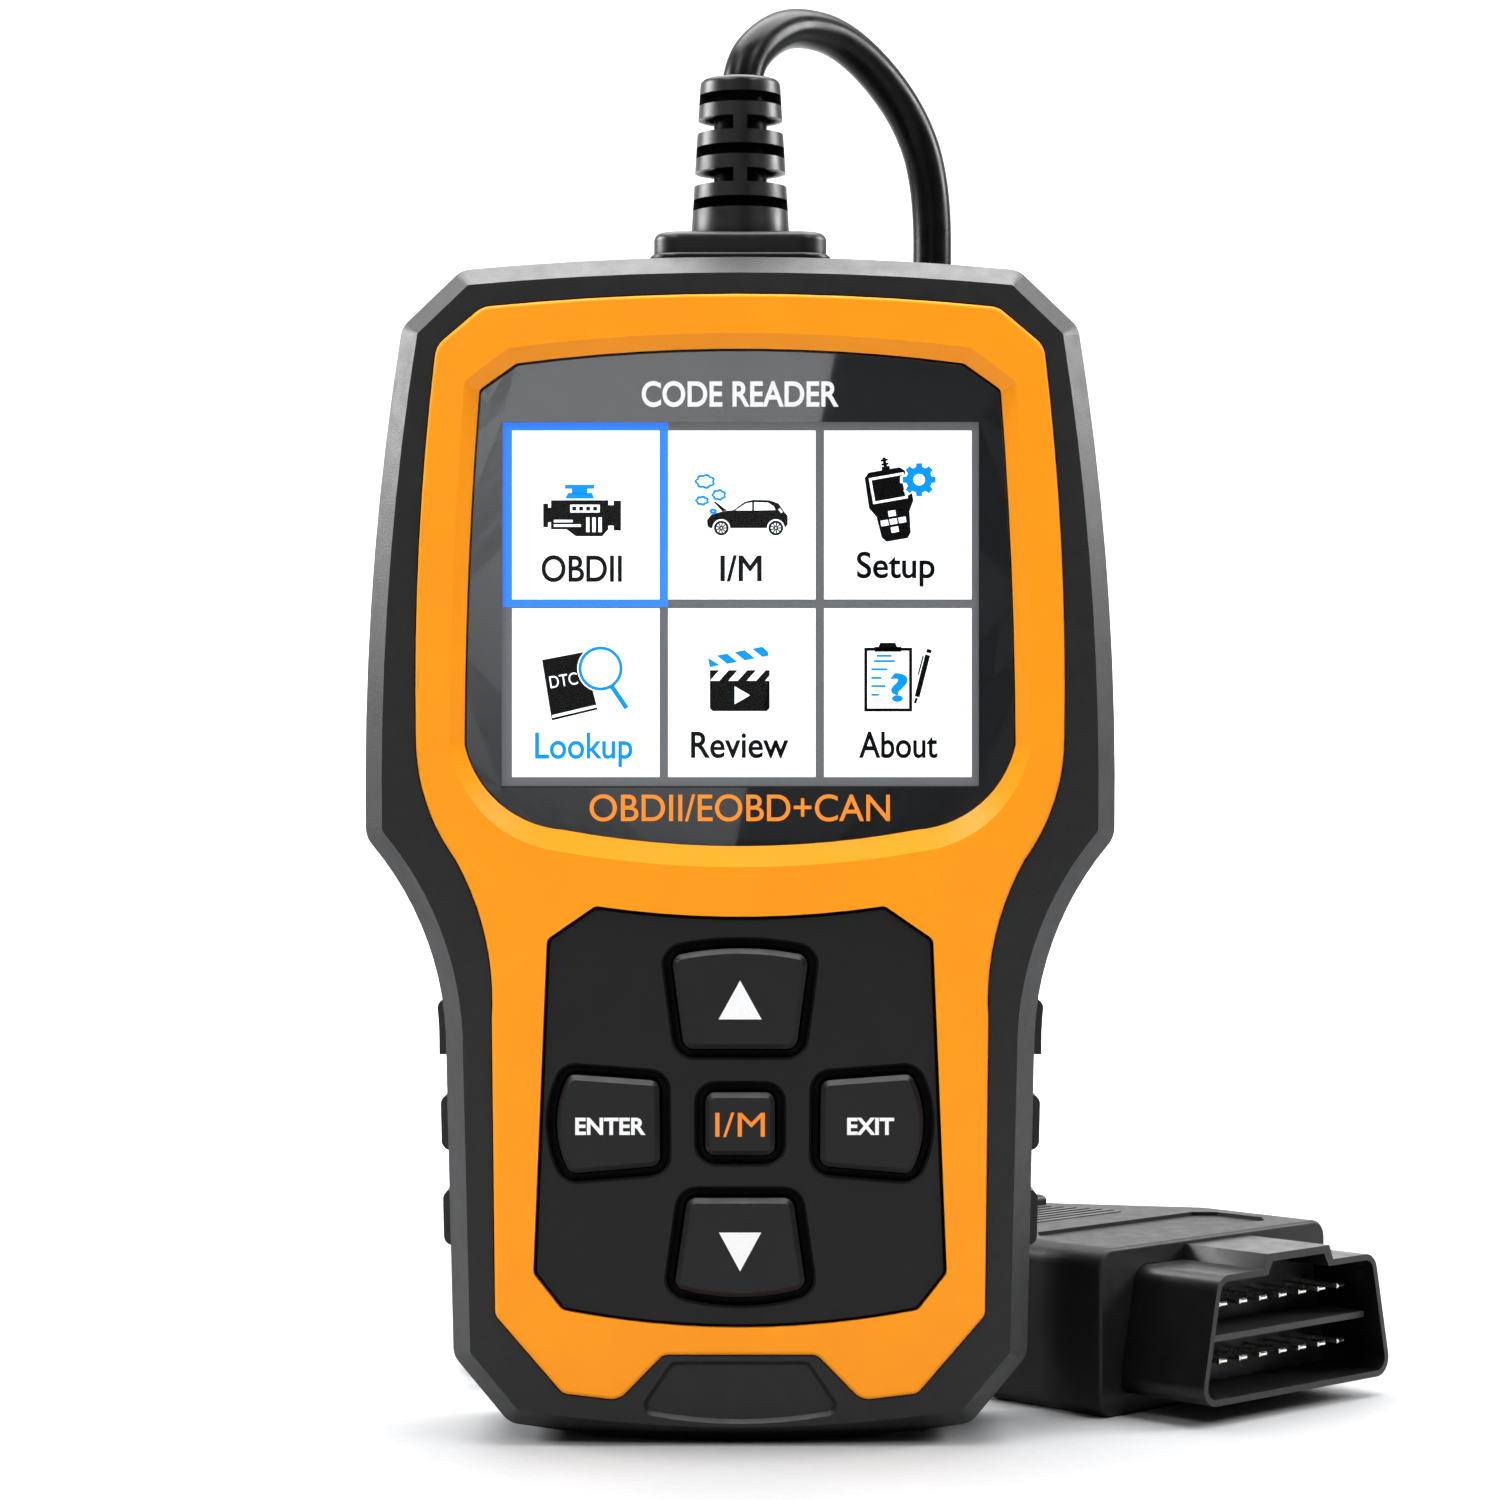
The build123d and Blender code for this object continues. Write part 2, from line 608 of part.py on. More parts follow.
def along_plug(face, start, end):
    """Extrudes a face drawn as (across, above the plug's middle) from one distance behind the mouth
    to another."""
    return Pos(0, end, PLUG_MID_Z) * (Plane.XZ * extrude(face, amount=end - start))


def plug_nose():
    shell = along_plug(nose_section(), 0, NOSE_LENGTH + 3)
    shell += along_plug(key_rib(7.5, 6.3, 1.9), 0.0, NOSE_LENGTH)
    shell += along_plug(nose_section(1.5), NOSE_LENGTH + 1.9, NOSE_LENGTH + 3)
    shell -= along_plug(nose_section(-NOSE_WALL), 0, NOSE_LENGTH + 3)
    shell -= along_plug(key_rib(6.3, 5.2, 0.9), 0.0, NOSE_LENGTH - 3.5)
    return shell


def key_rib(low_half, high_half, rise):
    """Trapezoid on top of the nose that stops the plug going in upside down."""
    low = NOSE_HEIGHT / 2 - NOSE_WALL - 0.2
    high = NOSE_HEIGHT / 2 + rise
    points = [(-low_half, low), (low_half, low), (high_half, high), (-high_half, high)]
    return make_face(Polyline(*points, close=True))


def plug_insert():
    """The insulator block at the back of the mouth, with the thin rib between the two pin rows."""
    inner = nose_section(-NOSE_WALL)
    body = along_plug(inner, 10.0, NOSE_LENGTH + 3)
    rib_width = (NOSE_BOTTOM_WIDTH + NOSE_TOP_WIDTH) / 2 - 2 * NOSE_WALL - 2.4
    body += along_plug(Rectangle(rib_width, 0.8), 1.6, 10.0)
    for x, z in pin_places():
        body -= along_plug(Pos(x, z) * Rectangle(1.5, 0.64), 10.0, NOSE_LENGTH + 3)
    return body


def pin_places():
    return [(PIN_PITCH * (i - 3.5), side * PIN_ROW_OFFSET) for side in (1, -1) for i in range(8)]


def plug_pins():
    pins = []
    for x, z in pin_places():
        blade = along_plug(Pos(x, z) * Rectangle(1.5, 0.64), 4.0, NOSE_LENGTH + 5)
        tip = blade.faces().sort_by(Axis.Y)[0]
        pins.append(chamfer(tip.edges(), 0.2))
    return Compound(children=pins)


def housing_plan(grow=0.0):
    wide = HOUSING_WIDTH / 2
    narrow = HOUSING_TAIL_WIDTH / 2
    points = [(-wide, NOSE_LENGTH), (wide, NOSE_LENGTH), (wide, HOUSING_SHOULDER),
              (narrow, HOUSING_END), (-narrow, HOUSING_END), (-wide, HOUSING_SHOULDER)]
    face = make_face(Polyline(*points, close=True))
    face = fillet(face.vertices().filter_by_position(Axis.Y, HOUSING_SHOULDER - 1, HOUSING_END + 1), 3.0)
    return offset(face, grow) if grow else face


def plug_half(side):
    """One half of the plug's housing: side 1 is the top, -1 the bottom."""
    low = PLUG_MID_Z if side > 0 else PLUG_MID_Z - HOUSING_THICKNESS / 2
    half = Pos(0, 0, low) * extrude(housing_plan(), amount=HOUSING_THICKNESS / 2)
    outer = half.faces().filter_by(Axis.Z).sort_by(Axis.Z)[-1 if side > 0 else 0]
    half = fillet([edge for edge in outer.edges() if edge.center().Y > NOSE_LENGTH + 1], HOUSING_ROUNDING)
    front = half.faces().sort_by(Axis.Y)[0]
    joint = front.edges().sort_by(Axis.Z)[0 if side > 0 else -1]
    half = fillet([edge for edge in front.edges() if edge != joint], 0.5)
    hollow = HOUSING_THICKNESS / 2 - 2.0
    inside = low if side > 0 else PLUG_MID_Z - hollow
    half -= Pos(0, 0, inside) * extrude(housing_plan(-2.0), amount=hollow)
    half -= along_plug(nose_section(0.08), 0, NOSE_LENGTH + 3)
    half -= along_plug(nose_section(1.6), NOSE_LENGTH + 1.9, NOSE_LENGTH + 3)
    half -= Pos(0, HOUSING_END, PLUG_MID_Z) * Rot(90, 0, 0) * Cylinder(3.6, 8)
    for x, y in PLUG_SCREWS:
        post = Pos(x, y, PLUG_MID_Z) * Cylinder(2.6, hollow, align=along(side))
        half += post
        half -= Pos(x, y, PLUG_MID_Z) * Cylinder(1.1 if side > 0 else 1.4, hollow - 1, align=along(side))
        if side < 0:
            half -= Pos(x, y, PLUG_MID_Z) * Cylinder(1.4, HOUSING_THICKNESS / 2, align=along(side))
            half -= Pos(x, y, 0) * Cylinder(2.4, 4.0, align=along(1))
    if side > 0:
        half = half - grip_recess() - top_panel_recess() + tail_lip()
    return half


def top_panel_recess():
    """Shallow label panel in the front half of the housing's top."""
    middle = NOSE_LENGTH + 10.9
    panel = fillet(chamfer(Rectangle(36.0, 12.6).vertices(), 2.4).vertices(), 0.6)
    return Pos(0, middle, PLUG_MID_Z + HOUSING_THICKNESS / 2 - TOP_PANEL_DEPTH) * extrude(panel, amount=2)


def tail_lip():
    """Raised thumb stop at the housing's tail."""
    bar = Pos(0, HOUSING_END - 2.2, PLUG_MID_Z + HOUSING_THICKNESS / 2 - 0.6) * Box(
        15, 2.6, 2.0, align=(Align.CENTER, Align.CENTER, Align.MIN))
    return fillet(bar.faces().sort_by(Axis.Z)[-1].edges(), 0.8)


def along(side):
    return (Align.CENTER, Align.CENTER, Align.MIN if side > 0 else Align.MAX)


def grip_plan(grow=0.0):
    points = [(-10.2, 37.4), (10.2, 37.4), (5.8, 49.2), (-5.8, 49.2)]
    face = fillet(make_face(Polyline(*points, close=True)).vertices(), 1.5)
    return offset(face, grow) if grow else face


def grip_recess():
    top = PLUG_MID_Z + HOUSING_THICKNESS / 2
    return Pos(0, 0, top - 0.8) * extrude(grip_plan(0.1), amount=2)


def plug_grip():
    """Ribbed finger pad let into the top of the plug."""
    top = PLUG_MID_Z + HOUSING_THICKNESS / 2
    pad = Pos(0, 0, top - 0.8) * extrude(grip_plan(), amount=0.9)
    for i in range(6):
        pad -= Pos(0, 38.9 + 1.75 * i, top + 0.1) * Box(40, 0.8, 0.9)
    return pad


def plug_boot():
    """Tapered relief where the lead enters the plug."""
    start = HOUSING_END - 3.3
    flange = Pos(0, start, PLUG_MID_Z) * Rot(-90, 0, 0) * Cylinder(5.2, 1.2, align=along(1))
    neck = Pos(0, start, PLUG_MID_Z) * Rot(-90, 0, 0) * Cylinder(3.5, 3.6, align=along(1))
    length = PLUG_BOOT_END - HOUSING_END - 0.2
    cone = Pos(0, HOUSING_END + 0.2, PLUG_MID_Z) * Rot(-90, 0, 0) * Cone(5.0, 3.3, length, align=along(1))
    boot = flange + neck + cone
    for i in range(3):
        groove = Pos(0, HOUSING_END + 3.2 + 3.0 * i, PLUG_MID_Z) * Rot(-90, 0, 0) * Cylinder(6, 1.0)
        core = Pos(0, HOUSING_END + 3.2 + 3.0 * i, PLUG_MID_Z) * Rot(-90, 0, 0) * Cylinder(2.9, 1.0)
        boot -= groove - core
    return boot


def plug_screws():
    screws = []
    for x, y in PLUG_SCREWS:
        head = Pos(x, y, 3.0) * Cylinder(2.2, 1.0, align=along(1))
        shank = Pos(x, y, 4.0) * Cylinder(1.0, 11.0, align=along(1))
        slot = Pos(x, y, 3.0) * (Box(3.0, 0.6, 1.0) + Box(0.6, 3.0, 1.0))
        screws.append(head + shank - slot)
    return Compound(children=screws)


# ---- write the parts ----------------------------------------------------------------------------
def device_nodes():
    nodes = {
        "front_cover": front_cover(),
        "rear_cover": rear_cover(),
        "bezel": bezel(),
        "screen_lens": screen_lens(),
        "lens_mask": lens_mask(),
        "screen_panel": screen_panel(),
        "screen_frame": screen_frame(),
        "screen_ribbon": screen_ribbon(),
        "ribbon_socket": ribbon_socket(),
        "keypad_plate": keypad_plate(),
        "tact_switches": tact_switches(),
        "main_board": main_board(),
        "processor_chip": processor_chip(),
        "small_chips": small_chips(),
        "crystal": crystal(),
        "beeper": beeper(),
        "lead_socket": lead_socket(),
        "lead_wires": lead_wires(),
        "board_screws": board_screws(),
        "case_screws": case_screws(),
        "side_grip_right": side_grip(1),
        "side_grip_left": side_grip(-1),
        "back_label": back_label(),
        "cable_boot": cable_boot(),
    }
    for name, (outline, x, z) in KEYS.items():
        nodes[name] = key_cap(outline, x, z)
        nodes[name.replace("key", "plunger")] = switch_plunger(x, z)
    return nodes


def lead_nodes():
    return {
        "cord_lead": tube("cord_lead", LEAD_ROUTE),
        "cord_tail": tube("cord_tail", TAIL_ROUTE),
        "cord_coil": cord_coil(),
        "coil_tie": coil_tie(),
    }


def plug_nodes():
    nodes = {
        "plug_nose": plug_nose(),
        "plug_insert": plug_insert(),
        "plug_pins": plug_pins(),
        "plug_top": plug_half(1),
        "plug_bottom": plug_half(-1),
        "plug_grip": plug_grip(),
        "plug_boot": plug_boot(),
        "plug_screws": plug_screws(),
    }
    return {name: PLUG_PLACE * shape for name, shape in nodes.items()}


os.makedirs("parts", exist_ok=True)
for name, shape in {**device_nodes(), **lead_nodes(), **plug_nodes()}.items():
    export_step(shape, f"parts/{name}.step")
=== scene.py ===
import math

import bmesh
import bpy
from mathutils import Matrix, Vector


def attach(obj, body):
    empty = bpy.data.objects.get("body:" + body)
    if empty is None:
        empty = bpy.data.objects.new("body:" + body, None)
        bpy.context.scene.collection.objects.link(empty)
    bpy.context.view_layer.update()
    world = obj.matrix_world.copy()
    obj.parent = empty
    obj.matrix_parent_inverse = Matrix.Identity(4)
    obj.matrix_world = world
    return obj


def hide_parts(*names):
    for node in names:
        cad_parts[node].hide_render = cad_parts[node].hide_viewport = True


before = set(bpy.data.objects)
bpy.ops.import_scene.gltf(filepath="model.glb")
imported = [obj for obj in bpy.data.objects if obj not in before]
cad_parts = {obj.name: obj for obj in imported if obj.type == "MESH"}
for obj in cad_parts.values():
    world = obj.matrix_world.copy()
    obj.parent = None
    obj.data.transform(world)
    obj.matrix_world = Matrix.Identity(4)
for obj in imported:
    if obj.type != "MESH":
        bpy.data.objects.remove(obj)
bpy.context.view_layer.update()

# Looks for the code reader: materials for every CAD node, the picture on the screen, the printed
# legends and the lead. +Z is up and the face looks along -Y. Blender works in metres. The sizes
# here are in millimetres, turned to metres by MM, except in the stage, the lights and the camera.
MM = 0.001
CASE_BODY = "case"

# Linear colours.
BEZEL_ORANGE = (0.93, 0.30, 0.005)
INK_ORANGE = (0.92, 0.24, 0.01)
SCREEN_WHITE = (0.93, 0.945, 0.96)
SCREEN_BLUE = (0.0, 0.23, 0.97)
SCREEN_GREY = (0.115, 0.117, 0.12)
CURSOR_BLUE = (0.03, 0.19, 0.98)


# ---- materials ----------------------------------------------------------------------------------
def new_material(name):
    """An empty node material: the material, its nodes, its links and its main shader."""
    material = bpy.data.materials.new(name)
    material.use_nodes = True
    nodes = material.node_tree.nodes
    return material, nodes, material.node_tree.links, nodes["Principled BSDF"]


def noise(nodes, links, scale, detail=3.0):
    """Noise in the object's own metres, so its grain has a real size."""
    place = nodes.new("ShaderNodeTexCoord")
    texture = nodes.new("ShaderNodeTexNoise")
    texture.inputs["Scale"].default_value = scale
    texture.inputs["Detail"].default_value = detail
    links.new(place.outputs["Object"], texture.inputs["Vector"])
    return texture.outputs["Fac"]


def spread(nodes, links, value, low, high, start=0.3, end=0.7):
    """Maps a value that runs from start to end to one that runs from low to high."""
    ramp = nodes.new("ShaderNodeMapRange")
    ramp.inputs["From Min"].default_value = start
    ramp.inputs["From Max"].default_value = end
    ramp.inputs["To Min"].default_value = low
    ramp.inputs["To Max"].default_value = high
    links.new(value, ramp.inputs["Value"])
    return ramp.outputs["Result"]


def tint(nodes, links, colour, value, amount):
    """The colour, lighter and darker by amount where the noise value is high and low."""
    mix = nodes.new("ShaderNodeMix")
    mix.data_type = "RGBA"
    mix.inputs["A"].default_value = (*[c * (1 - amount) for c in colour], 1)
    mix.inputs["B"].default_value = (*[min(1.0, c * (1 + amount)) for c in colour], 1)
    links.new(spread(nodes, links, value, 0, 1), mix.inputs["Factor"])
    return mix.outputs["Result"]


def bump(nodes, links, shader, height, distance):
    """Relief of that depth in metres where the height value goes from 0 to 1."""
    node = nodes.new("ShaderNodeBump")
    node.inputs["Distance"].default_value = distance
    node.inputs["Strength"].default_value = 1.0
    links.new(height, node.inputs["Height"])
    links.new(node.outputs["Normal"], shader.inputs["Normal"])


# How far the painted gap shade looks for walls that close a gap in.
GAP_REACH = 2.5


def moulded(name, colour, rough, grain=0.25, depth=0.02, variation=0.10, specular=0.5,
            painted_gap_shade=False):
    """Moulded plastic or rubber. grain is the size of its spark-eroded texture and depth how deep
    that is, both in millimetres. The last option paints shade into its narrow gaps: ambient
    occlusion takes their shine away."""
    material, nodes, links, shader = new_material(name)
    fine = noise(nodes, links, 1 / (grain * MM), 2.0)
    broad = noise(nodes, links, 90.0, 3.0)
    links.new(tint(nodes, links, colour, broad, variation), shader.inputs["Base Color"])
    patches = noise(nodes, links, 420.0, 4.0)
    links.new(spread(nodes, links, patches, rough - 0.05, rough + 0.05), shader.inputs["Roughness"])
    bump(nodes, links, shader, fine, depth * MM)
    shader.inputs["Specular IOR Level"].default_value = specular
    # Painted shade: ambient occlusion lowers the shine in narrow gaps and creases.
    if painted_gap_shade:
        gaps = nodes.new("ShaderNodeAmbientOcclusion")
        gaps.inputs["Distance"].default_value = GAP_REACH * MM
        links.new(spread(nodes, links, gaps.outputs["AO"], 0.0, specular, 0.45, 0.9),
                  shader.inputs["Specular IOR Level"])
    return material


def metal(name, colour, rough):
    """Bare metal with faint drawing marks."""
    material, nodes, links, shader = new_material(name)
    shader.inputs["Metallic"].default_value = 1.0
    broad = noise(nodes, links, 600.0, 4.0)
    links.new(tint(nodes, links, colour, broad, 0.12), shader.inputs["Base Color"])
    links.new(spread(nodes, links, broad, rough - 0.06, rough + 0.1), shader.inputs["Roughness"])
    bump(nodes, links, shader, noise(nodes, links, 5200.0), 0.004 * MM)
    return material


def ink(name, colour, glow=0.0, rough=0.45, specular=0.5):
    """Printed ink or thin film, or, where glow is above 0, a lit part of the picture or a print
    given a painted glow.
    """
    material, nodes, links, shader = new_material(name)
    fine = noise(nodes, links, 3000.0, 2.0)
    links.new(tint(nodes, links, colour, fine, 0.03), shader.inputs["Base Color"])
    links.new(spread(nodes, links, fine, rough - 0.05, rough + 0.05), shader.inputs["Roughness"])
    if glow:
        shader.inputs["Emission Color"].default_value = (*colour, 1)
        shader.inputs["Emission Strength"].default_value = glow
    bump(nodes, links, shader, fine, 0.002 * MM)
    shader.inputs["Specular IOR Level"].default_value = specular
    return material


LENS_IOR = 1.28
LENS_PRINT_IOR = 2.6


def lens_glass():
    """Clear hard-coated lens: see-through, with a mirror-like skin on its outside."""
    material, nodes, links, shader = new_material("lens_glass")
    nodes.remove(shader)
    clear = nodes.new("ShaderNodeBsdfTransparent")
    clear.inputs["Color"].default_value = (0.94, 0.95, 0.96, 1)
    skin = nodes.new("ShaderNodeBsdfGlossy")
    fine = noise(nodes, links, 260.0, 3.0)
    links.new(spread(nodes, links, fine, 0.01, 0.02), skin.inputs["Roughness"])
    fresnel = nodes.new("ShaderNodeFresnel")
    fresnel.inputs["IOR"].default_value = LENS_IOR
    side = nodes.new("ShaderNodeNewGeometry")
    outside = nodes.new("ShaderNodeMath")
    outside.operation = "SUBTRACT"
    outside.use_clamp = True
    links.new(fresnel.outputs["Fac"], outside.inputs[0])
    links.new(side.outputs["Backfacing"], outside.inputs[1])
    mix = nodes.new("ShaderNodeMixShader")
    links.new(outside.outputs["Value"], mix.inputs["Fac"])
    links.new(clear.outputs["BSDF"], mix.inputs[1])
    links.new(skin.outputs["BSDF"], mix.inputs[2])
    links.new(mix.outputs["Shader"], nodes["Material Output"].inputs["Surface"])
    return material


def gloss_print():
    """The lens's glossy black print, which mirrors more than the clear window does."""
    material, nodes, links, shader = new_material("lens_print")
    fine = noise(nodes, links, 300.0, 3.0)
    links.new(tint(nodes, links, (0.006, 0.0063, 0.007), fine, 0.1), shader.inputs["Base Color"])
    links.new(spread(nodes, links, fine, 0.01, 0.025), shader.inputs["Roughness"])
    shader.inputs["IOR"].default_value = LENS_PRINT_IOR
    return material


def board_mask():
    """Green solder mask with a hint of the copper tracks under it."""
    material, nodes, links, shader = new_material("board_green")
    place = nodes.new("ShaderNodeTexCoord")
    tracks = nodes.new("ShaderNodeTexBrick")
    tracks.inputs["Scale"].default_value = 260.0
    tracks.inputs["Mortar Size"].default_value = 0.03
    tracks.inputs["Color1"].default_value = (0.012, 0.10, 0.045, 1)
    tracks.inputs["Color2"].default_value = (0.02, 0.13, 0.055, 1)
    tracks.inputs["Mortar"].default_value = (0.05, 0.24, 0.09, 1)
    turn = nodes.new("ShaderNodeMapping")
    turn.inputs["Rotation"].default_value = (math.radians(90), 0, 0)
    links.new(place.outputs["Object"], turn.inputs["Vector"])
    links.new(turn.outputs["Vector"], tracks.inputs["Vector"])
    links.new(tracks.outputs["Color"], shader.inputs["Base Color"])
    fine = noise(nodes, links, 500.0)
    links.new(spread(nodes, links, fine, 0.25, 0.4), shader.inputs["Roughness"])
    bump(nodes, links, shader, tracks.outputs["Fac"], 0.01 * MM)
    return material


def node_materials():
    """One material for each group of CAD nodes."""
    groups = {
        "front_cover rear_cover":
            moulded("case_black", (0.0050, 0.0053, 0.0058), 0.44, 0.22, 0.034, specular=0.4,
                    painted_gap_shade=True),
        "bezel": moulded("bezel_orange", BEZEL_ORANGE, 0.34, 0.18, 0.010, 0.03, specular=0.22),
        "keypad_plate":
            moulded("keypad_black", (0.0042, 0.0045, 0.0050), 0.44, 0.15, 0.008, specular=0.28,
                    painted_gap_shade=True),
        "key_up key_down key_enter key_exit key_middle":
            moulded("key_rubber", (0.0046, 0.0048, 0.0053), 0.42, 0.16, 0.010, specular=0.33,
                    painted_gap_shade=True),
        "plunger_up plunger_down plunger_enter plunger_exit plunger_middle":
            moulded("plunger_ivory", (0.62, 0.6, 0.53), 0.45, 0.2, 0.006),
        "tact_switches ribbon_socket beeper": moulded("black_moulding", (0.02, 0.02, 0.021), 0.4),
        "screen_lens": lens_glass(),
        "lens_mask": gloss_print(),
        "screen_panel": ink("panel_edge", (0.05, 0.052, 0.055), 0.0, 0.2),
        "screen_frame lead_socket": moulded("white_moulding", (0.72, 0.72, 0.69), 0.5),
        "screen_ribbon": ink("amber_film", (0.5, 0.17, 0.02), 0.0, 0.3),
        "main_board": board_mask(),
        "processor_chip small_chips": moulded("chip_epoxy", (0.02, 0.02, 0.021), 0.6, 0.1, 0.01),
        "crystal": metal("can_metal", (0.72, 0.72, 0.71), 0.28),
        "lead_wires": ink("wire_sheath", (0.45, 0.03, 0.02), 0.0, 0.4),
        "case_screws board_screws plug_screws": metal("screw_steel", (0.16, 0.16, 0.165), 0.35),
        "side_grip_left side_grip_right plug_grip":
            moulded("grip_rubber", (0.0060, 0.0062, 0.0066), 0.5, 0.12, 0.016),
        "back_label": moulded("label_film", (0.42, 0.43, 0.44), 0.4, 0.5, 0.004, 0.03),
        "cable_boot plug_boot":
            moulded("boot_vinyl", (0.0036, 0.0038, 0.0042), 0.36, 0.3, 0.008, specular=0.32,
                    painted_gap_shade=True),
        "plug_top plug_bottom":
            moulded("plug_black", (0.0042, 0.0044, 0.0048), 0.5, 0.16, 0.010, specular=0.28),
        "plug_nose":
            moulded("nose_black", (0.0025, 0.0026, 0.0028), 0.36, 0.2, 0.006, specular=0.35),
        "plug_insert": moulded("insulator_black", (0.006, 0.006, 0.006), 0.5, 0.2, 0.01),
        "plug_pins": metal("pin_nickel", (0.78, 0.75, 0.70), 0.22),
        "coil_tie": moulded("tie_black", (0.012, 0.012, 0.012), 0.4),
    }
    for names, material in groups.items():
        for name in names.split():
            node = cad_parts[name]
            node.data.materials.clear()
            node.data.materials.append(material)


# ---- flat printed shapes ------------------------------------------------------------------------
# A loop is a list of (x, z) points. A figure is an outer loop followed by the loops of its holes.
def box_loop(x0, z0, x1, z1):
    return [(x0, z0), (x1, z0), (x1, z1), (x0, z1)]


def even_angles(count):
    return [2 * math.pi * i / count for i in range(count)]


def circle_loop(x, z, radius, count=40):
    return [(x + radius * math.cos(a), z + radius * math.sin(a)) for a in even_angles(count)]


def turned(loop, degrees, centre=(0, 0), shift=(0, 0)):
    """The loop turned about the centre, then shifted."""
    angle = math.radians(degrees)
    cosine, sine = math.cos(angle), math.sin(angle)
    out = []
    for x, z in loop:
        dx, dz = x - centre[0], z - centre[1]
        out.append((centre[0] + dx * cosine - dz * sine + shift[0],
                    centre[1] + dx * sine + dz * cosine + shift[1]))
    return out


def shifted(loop, dx, dz):
    return [(x + dx, z + dz) for x, z in loop]


def stroke(x0, z0, x1, z1, width):
    """A bar of that width from one point to another."""
    length = math.hypot(x1 - x0, z1 - z0)
    nx, nz = -(z1 - z0) / length * width / 2, (x1 - x0) / length * width / 2
    return [(x0 + nx, z0 + nz), (x1 + nx, z1 + nz), (x1 - nx, z1 - nz), (x0 - nx, z0 - nz)]


def solid(*loops):
    """Figures without holes, one for each loop."""
    return [[loop] for loop in loops]


def filled(figure, thickness):
    """A thin plate of one figure, in the XY plane."""
    curve = bpy.data.curves.new("figure", "CURVE")
    curve.dimensions = "2D"
    curve.fill_mode = "BOTH"
    curve.extrude = thickness / 2 * MM
    for loop in figure:
        spline = curve.splines.new("POLY")
        spline.points.add(len(loop) - 1)
        for point, (x, z) in zip(spline.points, loop):
            point.co = (x * MM, z * MM, 0, 1)
        spline.use_cyclic_u = True
    holder = bpy.data.objects.new("figure", curve)
    mesh = bpy.data.meshes.new_from_object(holder)
    bpy.data.objects.remove(holder)
    return mesh


def flat_shape(name, figures, front, thickness, material, body=CASE_BODY):
    """Thin plates of the figures' outlines, facing -Y with their front at y = -front."""
    build = bmesh.new()
    for figure in figures:
        build.from_mesh(filled(figure, thickness))
    mesh = bpy.data.meshes.new(name)
    build.to_mesh(mesh)
    build.free()
    return flat_piece(name, mesh, front - thickness / 2, material, body)


def flat_piece(name, mesh, depth, material, body):
    """Turns a mesh drawn in its own XY plane to face -Y at that depth, and rides it on the body."""
    mesh.name = name
    mesh.transform(Matrix.Rotation(math.radians(90), 4, "X"))
    mesh.transform(Matrix.Translation((0, -depth * MM, 0)))
    mesh.materials.clear()
    mesh.materials.append(material)
    piece = bpy.data.objects.new(name, mesh)
    bpy.context.scene.collection.objects.link(piece)
    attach(piece, body)
    return piece


def text_mesh(words, bold):
    """The words as a thin mesh in the XY plane, at a size of 1."""
    text = bpy.data.curves.new("text", "FONT")
    text.body = words
    text.size = 1.0
    text.offset = bold
    text.extrude = 0.001
    holder = bpy.data.objects.new("text", text)
    mesh = bpy.data.meshes.new_from_object(holder)
    bpy.data.objects.remove(holder)
    return mesh


def lettering(name, words, x, base, cap, width, front, thickness, material, body=CASE_BODY,
              bold=0.0, turn=0.0):
    """Words centred on x with their baseline at base, their capitals cap tall, and that wide."""
    capital = max(v.co.y for v in text_mesh("H", bold).vertices)
    mesh = text_mesh(words, bold)
    xs = [v.co.x for v in mesh.vertices]
    for vertex in mesh.vertices:
        vertex.co.x = (vertex.co.x - (min(xs) + max(xs)) / 2) * width * MM / (max(xs) - min(xs))
        vertex.co.y = vertex.co.y * cap * MM / capital
        vertex.co.z = math.copysign(thickness / 2 * MM, vertex.co.z)
    turning = Matrix.Rotation(math.radians(turn), 4, "Z")
    mesh.transform(Matrix.Translation((x * MM, base * MM, 0)) @ turning)
    return flat_piece(name, mesh, front - thickness / 2, material, body)


# ---- the picture on the screen ------------------------------------------------------------------
# Two rows of three white cells on grey. Each icon is drawn about its cell's centre, as layers from
# the back to the front, each a shade and its figures.
CELL_WIDTH = 18.0
CELL_HEIGHT = 20.6
COLUMN_PITCH = 19.05
COLUMN_CENTRE = 0.2
ROW_PITCH = 21.7
SCREEN_CENTRE_Z = 102.25
SCREEN_HALF_WIDTH = 29.2
SCREEN_HALF_HEIGHT = 22.25
CURSOR = (-29.0, 101.85, -8.8, 124.4)
PICTURE_DEPTH = 8.86
LAYER = 0.05
CELL_FILM = 0.02
ICON_FILM = 0.008
LABEL_CAP = 3.15
BLACK, BLUE, WHITE = "black", "blue", "white"


def engine_icon():
    body = [(-4.25, 1.8), (2.75, 1.8), (2.75, -1.75), (2.0, -2.6), (-1.2, -2.6), (-2.35, -1.75),
            (-4.25, -1.75)]
    black = solid(body, box_loop(-5.2, -1.5, -4.6, 1.4), box_loop(-4.65, -0.9, -4.2, 0.9),
                  box_loop(2.7, -1.3, 3.45, 1.2), box_loop(3.4, -1.9, 4.3, 1.75))
    blue = solid(box_loop(-2.55, 3.2, 1.05, 3.7), box_loop(-1.7, 2.6, 0.2, 3.25),
                 [(-2.15, 2.7), (0.75, 2.7), (1.05, 2.0), (-2.55, 2.0)])
    white = solid(box_loop(-1.9, 0.3, 1.7, 1.25), box_loop(-3.9, -0.9, -1.6, -0.6),
                  box_loop(-3.9, -1.45, -0.6, -1.15),
                  *[box_loop(x, -2.1, x + 0.4, -0.3) for x in (0.05, 0.8, 1.55)])
    dots = solid(*[box_loop(x, 0.53, x + 0.48, 1.02) for x in (-1.65, -0.8, 0.05, 0.9)])
    return [(BLACK, black), (BLUE, blue), (WHITE, white), (BLACK, dots)]


